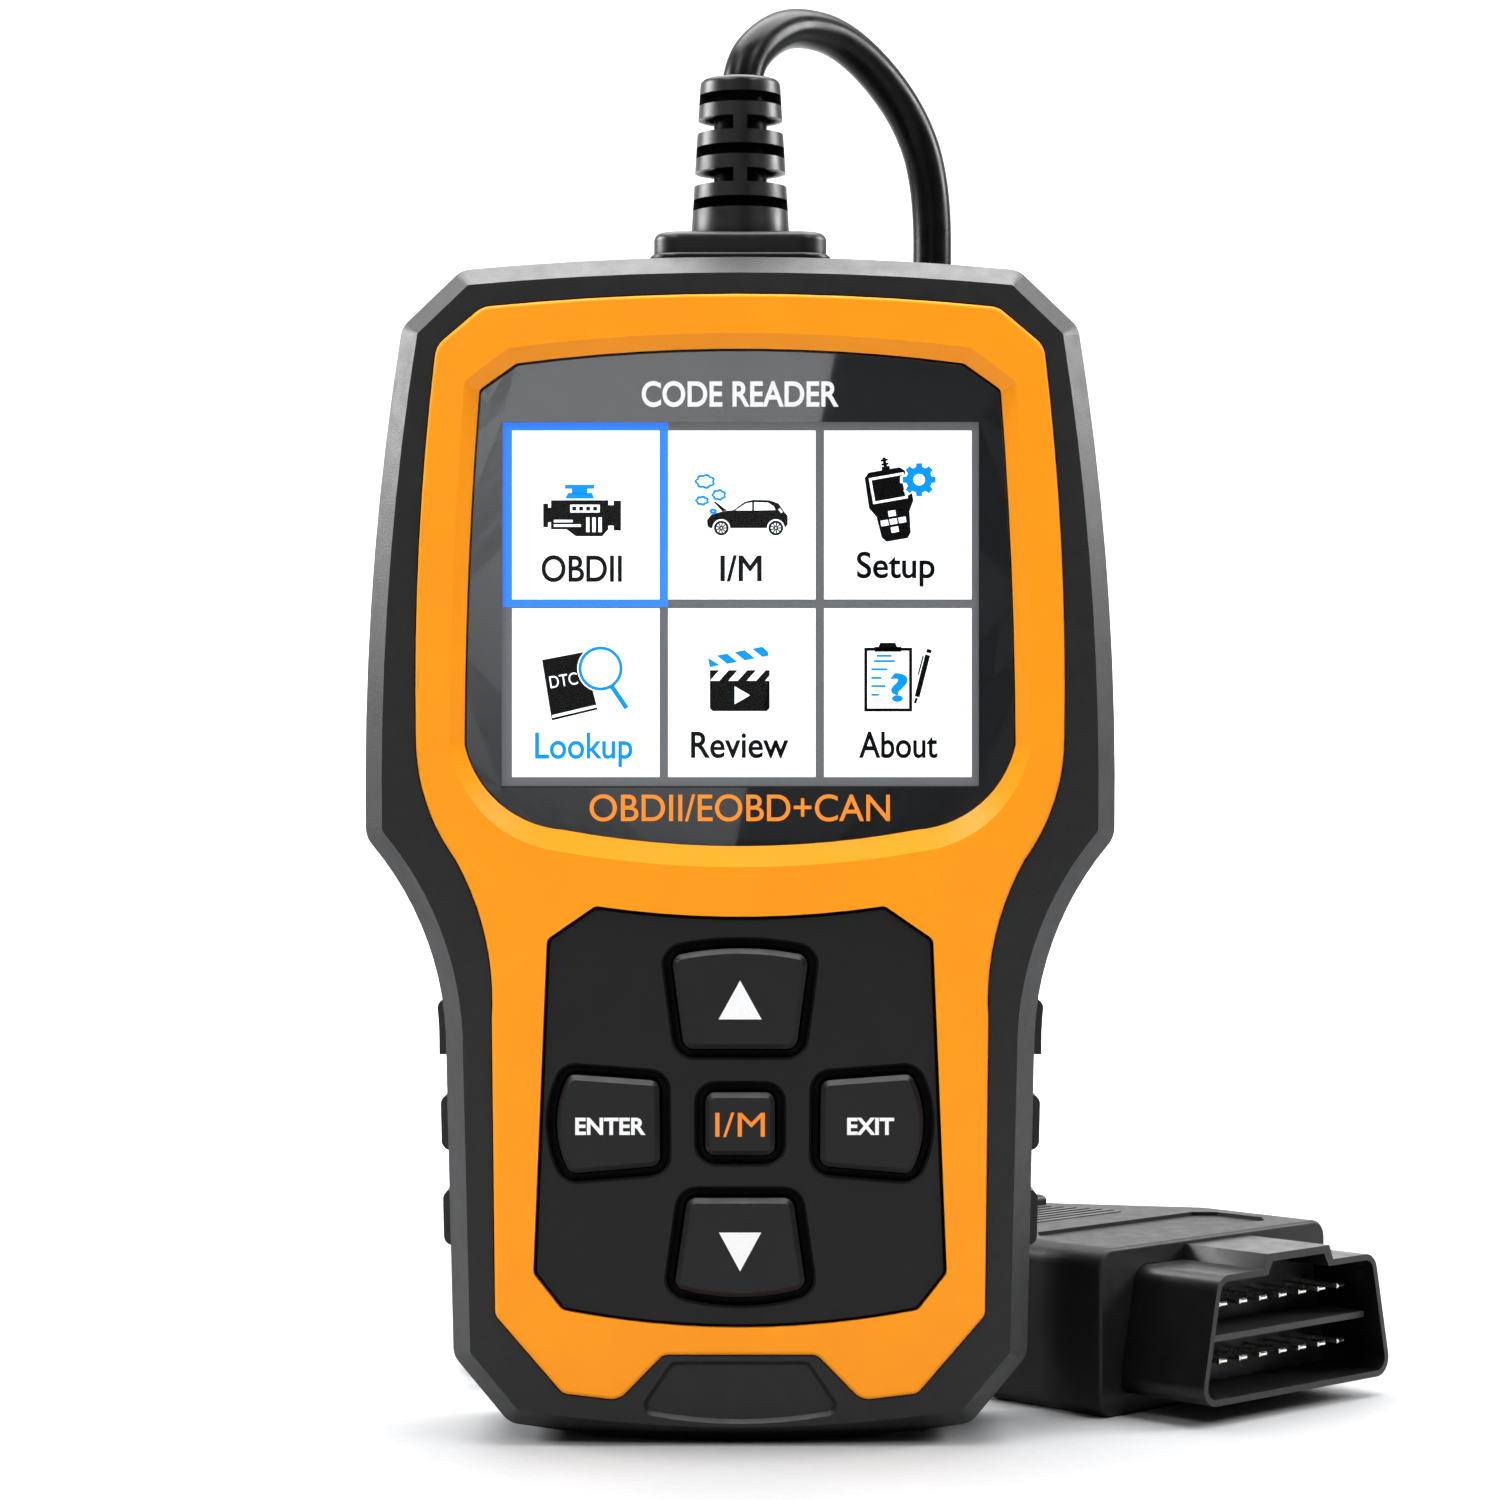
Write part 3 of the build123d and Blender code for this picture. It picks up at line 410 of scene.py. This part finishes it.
def cloud(x, z, width, height, line=0.32):
    """A puff of smoke as a scalloped ring."""
    loops = []
    for inset in (0, line):
        loop = []
        for a in even_angles(56):
            swell = 0.84 + 0.16 * abs(math.sin(3.5 * a))
            loop.append((x + (width * swell - inset) * math.cos(a),
                         z + (height * swell - inset) * math.sin(a)))
        loops.append(loop)
    return loops


def car_icon():
    body = [(-4.2, -1.35), (-4.25, -0.6), (-3.7, 0.05), (-2.3, 0.45), (-1.0, 0.6), (0.35, 1.6),
            (1.4, 1.85), (3.4, 1.8), (4.5, 1.4), (5.2, 0.35), (5.6, -0.1), (5.6, -1.2), (5.2, -1.6),
            (-3.9, -1.6)]
    hood = [(-2.4, 0.45), (-3.45, 1.6), (-3.25, 1.65), (-1.8, 0.55)]
    smoke = [cloud(-4.5, 4.1, 1.3, 0.95), cloud(-2.8, 2.45, 0.95, 0.75),
             cloud(-4.85, 1.75, 0.9, 0.65), cloud(-3.5, 0.45, 0.5, 0.38)]
    glass = solid([(-0.8, 0.55), (0.45, 1.38), (1.25, 1.55), (1.25, 0.55)],
                  [(1.5, 0.55), (1.5, 1.55), (3.2, 1.5), (3.9, 1.05), (4.1, 0.6)],
                  stroke(4.55, 0.75, 4.9, 0.3, 0.25))
    arches, tyres, spokes = [], [], []
    axle = -1.6
    for x in (-2.5, 4.15):
        arches.append([circle_loop(x, axle, 1.08)])
        tyres.append([circle_loop(x, axle, 0.9), circle_loop(x, axle, 0.62)])
        for a in even_angles(9):
            c, s = math.cos(a), math.sin(a)
            spoke = stroke(x + 0.1 * c, axle + 0.1 * s, x + 0.66 * c, axle + 0.66 * s, 0.15)
            spokes.append([spoke])
    return [(BLACK, solid(body, hood)), (BLUE, smoke), (WHITE, glass + arches), (BLACK, tyres),
            (BLACK, spokes)]


def gear_loop(x, z, outer, inner, teeth=8):
    """A gear's outline, four points to each tooth."""
    loop = []
    for middle in even_angles(teeth):
        for offset, radius in ((-0.26, inner), (-0.17, outer), (0.17, outer), (0.26, inner)):
            angle = middle + offset
            loop.append((x + radius * math.cos(angle), z + radius * math.sin(angle)))
    return loop


def reader_icon():
    """A small tilted hand-held reader with a gear beside its screen."""
    tilt = dict(degrees=10, centre=(-0.6, 0), shift=(0.2, 0.45))
    body = [(-3.5, 4.6), (-2.9, 5.2), (0.9, 5.2), (1.9, 4.4), (1.9, 0.9), (1.2, -0.3), (0.9, -2.9),
            (0.4, -3.5), (-2.2, -3.5), (-2.7, -2.9), (-2.9, -0.3), (-3.6, 0.9)]
    stub = [box_loop(-1.25, 5.1, -0.25, 5.6), box_loop(-0.95, 5.5, -0.55, 6.7),
            box_loop(-1.2, 5.75, -0.3, 6.0), box_loop(-1.2, 6.25, -0.3, 6.5)]
    window = [box_loop(-3.0, 1.3, 1.3, 4.5), box_loop(-2.72, 1.58, 1.02, 4.22)]
    keys = [box_loop(x - 0.45, z - 0.34, x + 0.45, z + 0.34)
            for x, z in ((-0.95, -0.2), (-0.95, -2.2), (-2.05, -1.2), (0.15, -1.2), (-0.95, -1.2))]
    black = solid(*[turned(loop, **tilt) for loop in [body] + stub])
    white = [[turned(loop, **tilt) for loop in window],
             *solid(*[turned(loop, **tilt) for loop in keys])]
    gear_rim = solid(gear_loop(2.6, 4.3, 2.35, 1.9))
    gear = [[gear_loop(2.6, 4.3, 2.05, 1.6), circle_loop(2.6, 4.3, 0.7)]]
    return [(BLACK, black), (WHITE, white), (WHITE, gear_rim), (BLUE, gear)]


def book_icon():
    """A book of codes with a magnifying glass over it."""
    cover = [(-5.35, 4.0), (-0.35, 4.95), (1.45, -2.05), (-4.15, -3.4)]
    pages = [(-4.1, -2.75), (1.25, -1.48), (1.35, -1.8), (-4.15, -3.1)]
    rim = [circle_loop(1.8, 2.95, 2.7, 56), circle_loop(1.8, 2.95, 2.3, 56)]
    return [(BLACK, solid(cover)), (WHITE, solid(pages, circle_loop(1.8, 2.95, 2.85))),
            (BLUE, [rim, [stroke(3.15, 0.8, 5.0, -1.9, 0.6)]])]


def clapper_icon():
    board = [(-3.9, 2.75), (3.4, 2.75), (3.4, -1.9), (3.05, -2.25), (-3.55, -2.25), (-3.9, -1.9)]
    stripes = [[(x, 1.45), (x + 1.15, 1.45), (x + 2.35, 2.8), (x + 1.2, 2.8)]
               for x in (-3.9, -1.65, 0.6)]
    tail = [(2.85, 1.45), (3.45, 1.45), (3.45, 2.15)]
    play = [(-0.87, 0.77), (-0.87, -1.4), (1.0, -0.32)]
    arm = dict(degrees=11, centre=(-3.9, 3.0))
    blue = [turned(loop, **arm) for loop in (
        [(-3.9, 3.1), (-2.6, 3.1), (-3.9, 4.3)],
        [(-1.75, 3.1), (-0.45, 3.1), (-1.5, 4.35), (-2.8, 4.35)],
        [(0.45, 3.1), (1.75, 3.1), (0.7, 4.35), (-0.6, 4.35)],
        [(2.65, 3.1), (3.45, 3.1), (3.45, 3.6), (2.9, 4.35), (1.6, 4.35)])]
    return [(BLACK, solid(board)), (WHITE, solid(*stripes, tail, play)), (BLUE, solid(*blue))]


def clipboard_icon():
    sheet = [box_loop(-4.1, -2.3, 1.75, 5.5), box_loop(-3.72, -1.92, 1.37, 5.12)]
    clip = [(-2.85, 5.0), (0.4, 5.0), (0.4, 5.6), (-0.1, 5.6), (-0.3, 6.1), (-2.15, 6.1),
            (-2.35, 5.6), (-2.85, 5.6)]
    rows = [(-2.6, -0.75, 4.5), (-2.95, -0.35, 3.85), (-3.25, -1.25, 2.85), (-3.25, -2.0, 1.8),
            (-3.25, -1.5, 0.8), (-3.25, -2.3, -0.25)]
    lines = [box_loop(x0, z - 0.14, x1, z + 0.14) for x0, x1, z in rows]
    pen = [stroke(3.65, 4.6, 2.35, -0.5, 0.62), stroke(2.3, -0.65, 2.1, -1.3, 0.32),
           stroke(3.85, 5.3, 3.76, 4.85, 0.62), stroke(3.1, 4.5, 2.5, 2.2, 0.18)]
    return [(BLACK, [sheet, [clip], *solid(*pen)]), (BLUE, solid(*lines))]


def screen_ink(name, colour, glow):
    """A part of the picture, which shines little of its own because the lens covers it."""
    return ink(name, colour, glow, rough=0.3, specular=0.1)


def screen_picture():
    white = screen_ink("screen_white", SCREEN_WHITE, 0.95)
    inks = {BLACK: screen_ink("screen_black", (0.003, 0.003, 0.003), 0.0),
            BLUE: screen_ink("screen_blue", SCREEN_BLUE, 0.75), WHITE: white}
    grey = screen_ink("screen_grey", SCREEN_GREY, 0.75)
    w, h = SCREEN_HALF_WIDTH, SCREEN_HALF_HEIGHT
    backing = box_loop(-w, SCREEN_CENTRE_Z - h, w, SCREEN_CENTRE_Z + h)
    flat_shape("screen_backing", [[backing]], PICTURE_DEPTH, 2 * CELL_FILM, grey)
    cells = [(COLUMN_CENTRE + column * COLUMN_PITCH, SCREEN_CENTRE_Z + row * ROW_PITCH)
             for row in (0.5, -0.5) for column in (-1, 0, 1)]
    half_w, half_h = CELL_WIDTH / 2, CELL_HEIGHT / 2
    loops = [box_loop(x - half_w, z - half_h, x + half_w, z + half_h) for x, z in cells]
    flat_shape("screen_cells", solid(*loops), PICTURE_DEPTH + LAYER, CELL_FILM, white)
    cursor = [box_loop(*CURSOR), loops[0]]
    flat_shape("screen_cursor", [cursor], PICTURE_DEPTH + LAYER, CELL_FILM,
               screen_ink("cursor_blue", CURSOR_BLUE, 0.8))
    icons = [("engine", engine_icon()), ("car", car_icon()), ("reader", reader_icon()),
             ("book", book_icon()), ("clapper", clapper_icon()), ("clipboard", clipboard_icon())]
    for (x, z), (name, layers) in zip(cells, icons):
        for i, (shade, figures) in enumerate(layers):
            moved = [[shifted(loop, x, z) for loop in figure] for figure in figures]
            flat_shape(f"icon_{name}_{i}", moved, PICTURE_DEPTH + LAYER * (1.5 + 0.5 * i),
                       ICON_FILM, inks[shade])
    screen_words(cells, inks)


def screen_word(name, words, x, base, cap, width, layers, material, **style):
    """Words on the picture, that many layers in front of its grey backing."""
    lettering(name, words, x, base, cap, width, PICTURE_DEPTH + LAYER * layers, ICON_FILM,
              material, **style)


def screen_words(cells, inks):
    # Words, x, baseline, width, shade and boldness.
    labels = [("OBDII", -19.35, 105.0, 9.8, BLACK, 0.014),
              ("I/M", 0.03, 105.0, 4.9, BLACK, 0.0),
              ("Setup", 19.0, 105.45, 9.5, BLACK, 0.014),
              ("Lookup", -19.1, 83.4, 11.9, BLUE, 0.014),
              ("Review", -0.05, 83.5, 11.9, BLACK, 0.014),
              ("About", 19.3, 83.5, 9.6, BLACK, 0.014)]
    for words, x, base, width, shade, bold in labels:
        name = "word_" + words.replace("/", "_")
        screen_word(name, words, x, base, LABEL_CAP, width, 2, inks[shade], bold=bold)
    # I/M doesn't fill in bold, so a shifted copy thickens it.
    screen_word("word_I_M_again", "I/M", 0.17, 105.0, LABEL_CAP, 4.9, 1.9, inks[BLACK])
    x, z = cells[3]
    screen_word("word_on_book", "DTC", x - 2.6, z + 0.8, 1.45, 3.4, 2.1, inks[WHITE], turn=9)
    x, z = cells[5]
    screen_word("word_question", "?", x + 0.1, z - 0.95, 3.3, 2.2, 2.6, inks[BLUE], bold=0.03)


# Thickness of a print, and how far the front of the lens's words lies ahead of the origin.
PRINT = 0.05
LENS_WORD_DEPTH = 9.6


def lens_words():
    """Plain words printed behind the lens, above and below the picture, with a faint painted glow
    though no lamp is behind them.
    """
    # Painted light: these prints glow a little though nothing lights them from behind.
    orange = ink("print_orange_painted_glow", INK_ORANGE, 0.35)
    white = ink("print_white_painted_glow", (0.85, 0.86, 0.87), 0.25)
    lettering("word_title", "CODE READER", 0, 126.35, 3.0, 24.0, LENS_WORD_DEPTH, PRINT, white,
              bold=0.02)
    lettering("word_protocols", "OBDII/EOBD+CAN", -0.05, 75.75, 3.2, 36.6, LENS_WORD_DEPTH, PRINT,
              orange, bold=0.004)


# ---- key legends --------------------------------------------------------------------------------
KEY_TOP = 13.0


def key_legends():
    """Arrows and words printed on the keys, each on the body of its key."""
    white = ink("legend_white", (0.86, 0.86, 0.86), 0.0, 0.5)
    orange = ink("legend_orange", INK_ORANGE, 0.0, 0.5)
    up = [(-2.6, 51.8), (2.6, 51.8), (0, 56.5)]
    down = [(-2.55, 26.0), (2.55, 26.0), (0, 21.3)]
    top = KEY_TOP + PRINT
    flat_shape("legend_up", [[up]], top, PRINT, white, "key_up")
    flat_shape("legend_down", [[down]], top, PRINT, white, "key_down")
    lettering("legend_enter", "ENTER", -15.7, 37.9, 2.0, 8.5, top, PRINT, white, "key_enter",
              bold=0.03)
    lettering("legend_exit", "EXIT", 15.8, 37.9, 2.0, 5.7, top, PRINT, white, "key_exit", bold=0.03)
    lettering("legend_middle", "I/M", 0.0, 37.6, 2.9, 6.0, top, PRINT, orange, "key_middle")


# ---- lead ---------------------------------------------------------------------------------------
# The lead's route is that of the CAD model: down from the boot, round the coil, up into the plug.
CORD_DIAMETER = 5.0
COIL_CENTRE = (-8.0, 48.5)
COIL_RADIUS = 25.2
COIL_START_DEG = 270.0
COIL_TURNED_DEG = 915.0
COIL_STEP_DEG = 22.0
LEAD_ROUTE = [
    (0.0, 0.0, 163.75), (0.0, 0.0, 168.9), (2.7, 2.5, 173.3), (7.0, 8.2, 176.3),
    (13.8, 14.6, 175.5), (21.6, 20.0, 167.6), (25.0, 21.6, 158.0), (24.9, 22.0, 141.0),
    (24.6, 22.4, 116.0), (22.8, 22.0, 83.0), (21.6, 21.4, 50.0), (19.6, 21.0, 28.0),
    (14.5, 20.8, 11.5), (5.0, 20.7, 3.4),
]
TAIL_ROUTE = [(11.0, 70.0, 8.4), (20.35, 65.17, 10.7), (25.85, 59.35, 10.7)]


def coil_point(turned_deg):
    """A point of the wound turns: an outer turn and an inner turn on the floor, then one nested on
    top, wound clockwise seen from above."""
    def eased(start, end):
        t = min(1.0, max(0.0, (turned_deg - start) / (end - start)))
        return t * t * (3 - 2 * t)
    half = CORD_DIAMETER / 2
    radius = COIL_RADIUS + half - 2 * half * eased(290, 365) + half * eased(610, 665)
    lift = 4.4 * eased(580, 640) + 0.7 * (eased(620, 670) - eased(725, 760))
    fit = 1 / math.cos(math.radians(COIL_STEP_DEG / 2))
    angle = math.radians(COIL_START_DEG - turned_deg)
    return (COIL_CENTRE[0] + fit * radius * math.cos(angle),
            COIL_CENTRE[1] + fit * radius * math.sin(angle), half + 0.05 + lift)


def lead():
    """The lead from the boot, down behind the case, round its coil and into the plug."""
    steps = int(COIL_TURNED_DEG / COIL_STEP_DEG)
    coil = [coil_point(COIL_TURNED_DEG * i / steps) for i in range(steps + 1)]
    route = LEAD_ROUTE + coil + TAIL_ROUTE
    curve = bpy.data.curves.new("cord", "CURVE")
    curve.dimensions = "3D"
    curve.bevel_depth = CORD_DIAMETER / 2 * MM
    curve.bevel_resolution = 8
    curve.resolution_u = 12
    curve.use_fill_caps = True
    spline = curve.splines.new("NURBS")
    spline.points.add(len(route) - 1)
    for point, (x, y, z) in zip(spline.points, route):
        point.co = (x * MM, y * MM, z * MM, 1)
    spline.order_u = 3
    spline.use_endpoint_u = True
    cord = bpy.data.objects.new("cord", curve)
    bpy.context.scene.collection.objects.link(cord)
    sheath = moulded("cord_sheath", (0.0020, 0.0021, 0.0023), 0.3, 0.5, 0.003, specular=0.13)
    curve.materials.append(sheath)
    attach(cord, CASE_BODY)
    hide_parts("cord_lead", "cord_coil", "cord_tail")


# ---- stage, lights and camera, in metres --------------------------------------------------------
SWEEP_START = 0.9
SWEEP_RADIUS = 0.9
SWEEP_STEPS = 16


def stage():
    """A pale floor that sweeps up into a backdrop."""
    profile = [(-3.0, 0.0), (SWEEP_START, 0.0)]
    for i in range(1, SWEEP_STEPS + 1):
        angle = math.pi / 2 * i / SWEEP_STEPS
        profile.append((SWEEP_START + SWEEP_RADIUS * math.sin(angle),
                        SWEEP_RADIUS - SWEEP_RADIUS * math.cos(angle)))
    profile.append((SWEEP_START + SWEEP_RADIUS, 4.0))
    mesh = bpy.data.meshes.new("floor")
    build = bmesh.new()
    rows = [[build.verts.new((x, y, z)) for y, z in profile] for x in (-4.0, 4.0)]
    for i in range(len(profile) - 1):
        build.faces.new((rows[0][i], rows[1][i], rows[1][i + 1], rows[0][i + 1]))
    build.to_mesh(mesh)
    build.free()
    mesh.shade_smooth()
    floor = bpy.data.objects.new("floor", mesh)
    bpy.context.scene.collection.objects.link(floor)
    mesh.materials.append(floor_with_painted_light())


# The paper turns from grey to white between these distances behind the reader: painted light
# for the lamps reaching less far back.
PAINTED_LIGHT_FADE = (0.15, 0.9)


def floor_with_painted_light():
    """Paper that is light grey round the reader and painted white further back, as painted light
    where the lamps reach less.
    """
    material, nodes, links, shader = new_material("floor_with_painted_light")
    place = nodes.new("ShaderNodeTexCoord")
    split = nodes.new("ShaderNodeSeparateXYZ")
    links.new(place.outputs["Object"], split.inputs["Vector"])
    mix = nodes.new("ShaderNodeMix")
    mix.data_type = "RGBA"
    # Painted light: grey near the reader, white further back where the lamps reach less.
    mix.inputs["A"].default_value = (0.285, 0.288, 0.295, 1)
    mix.inputs["B"].default_value = (0.94, 0.94, 0.95, 1)
    links.new(spread(nodes, links, split.outputs["Y"], 0, 1, *PAINTED_LIGHT_FADE), mix.inputs["Factor"])
    links.new(mix.outputs["Result"], shader.inputs["Base Color"])
    grain = noise(nodes, links, 700.0, 2.0)
    links.new(spread(nodes, links, grain, 0.6, 0.7), shader.inputs["Roughness"])
    bump(nodes, links, shader, grain, 0.01 * MM)
    return material


def area_light(name, place, target, width, height, power, roll=0.0):
    """A white rectangular light that faces the target, rolled by that many degrees."""
    data = bpy.data.lights.new(name, "AREA")
    data.shape = "RECTANGLE"
    data.size = width
    data.size_y = height
    data.energy = power
    light = bpy.data.objects.new(name, data)
    bpy.context.scene.collection.objects.link(light)
    light.location = place
    aim = (Vector(target) - Vector(place)).to_track_quat("-Z", "Y")
    rolling = Matrix.Rotation(math.radians(roll), 3, "Z")
    light.rotation_euler = (aim.to_matrix() @ rolling).to_euler()
    return light


def fade_downwards(data):
    """Makes a light dimmer towards its lower edge."""
    data.use_nodes = True
    nodes, links = data.node_tree.nodes, data.node_tree.links
    place = nodes.new("ShaderNodeTexCoord")
    split = nodes.new("ShaderNodeSeparateXYZ")
    links.new(place.outputs["UV"], split.inputs["Vector"])
    strength = spread(nodes, links, split.outputs["Y"], 0.25, 1.4, 0.28, 0.56)
    links.new(strength, nodes["Emission"].inputs["Strength"])


CARD_PLACE = (-0.226, -1.2, 0.212)
CARD_TARGET = (-0.226, 0, 0.212)
CARD_ROLL = -11.4
WORLD_STRENGTH = 0.10


def lights():
    """Soft banks above and beside the reader, and a tilted card that the lens mirrors."""
    world = bpy.data.worlds.new("studio")
    bpy.context.scene.world = world
    world.use_nodes = True
    background = world.node_tree.nodes["Background"]
    background.inputs["Color"].default_value = (1, 1, 1, 1)
    background.inputs["Strength"].default_value = WORLD_STRENGTH
    middle = (0, 0, 0.09)
    area_light("top_bank", (0, 0.12, 0.95), (0, 0.0, 0.05), 1.2, 0.8, 33)
    area_light("left_bank", (-0.6, 0.12, 0.34), (0, 0, 0.14), 0.3, 0.25, 6.2)
    area_light("right_bank", (0.6, 0.12, 0.36), (0, 0, 0.15), 0.2, 0.25, 5)
    area_light("left_key", (-0.6, -0.75, 1.0), middle, 0.4, 0.4, 7.6)
    area_light("right_fill", (0.7, -0.7, 0.9), middle, 0.4, 0.4, 5)
    card = area_light("front_card", CARD_PLACE, CARD_TARGET, 0.5, 0.7, 0.65, roll=CARD_ROLL)
    fade_downwards(card.data)
    area_light("back_wash", (0, 0.9, 1.2), (0, 1.5, 0.3), 2.4, 0.8, 24)


CAMERA_PLACE = (0.0012, -0.465, 0.0844)
FOCAL_LENGTH = 89.64


def camera():
    """Looks level at the face from a little above the middle of the case."""
    data = bpy.data.cameras.new("camera")
    data.sensor_width = 36.0
    data.lens = FOCAL_LENGTH
    data.clip_start = 0.01
    made = bpy.data.objects.new("camera", data)
    bpy.context.scene.collection.objects.link(made)
    made.location = CAMERA_PLACE
    made.rotation_euler = (math.radians(90), 0, 0)
    bpy.context.scene.camera = made


camera()
stage()
lights()
bpy.context.scene.view_settings.view_transform = "Standard"
lead()
node_materials()
screen_picture()
lens_words()
key_legends()
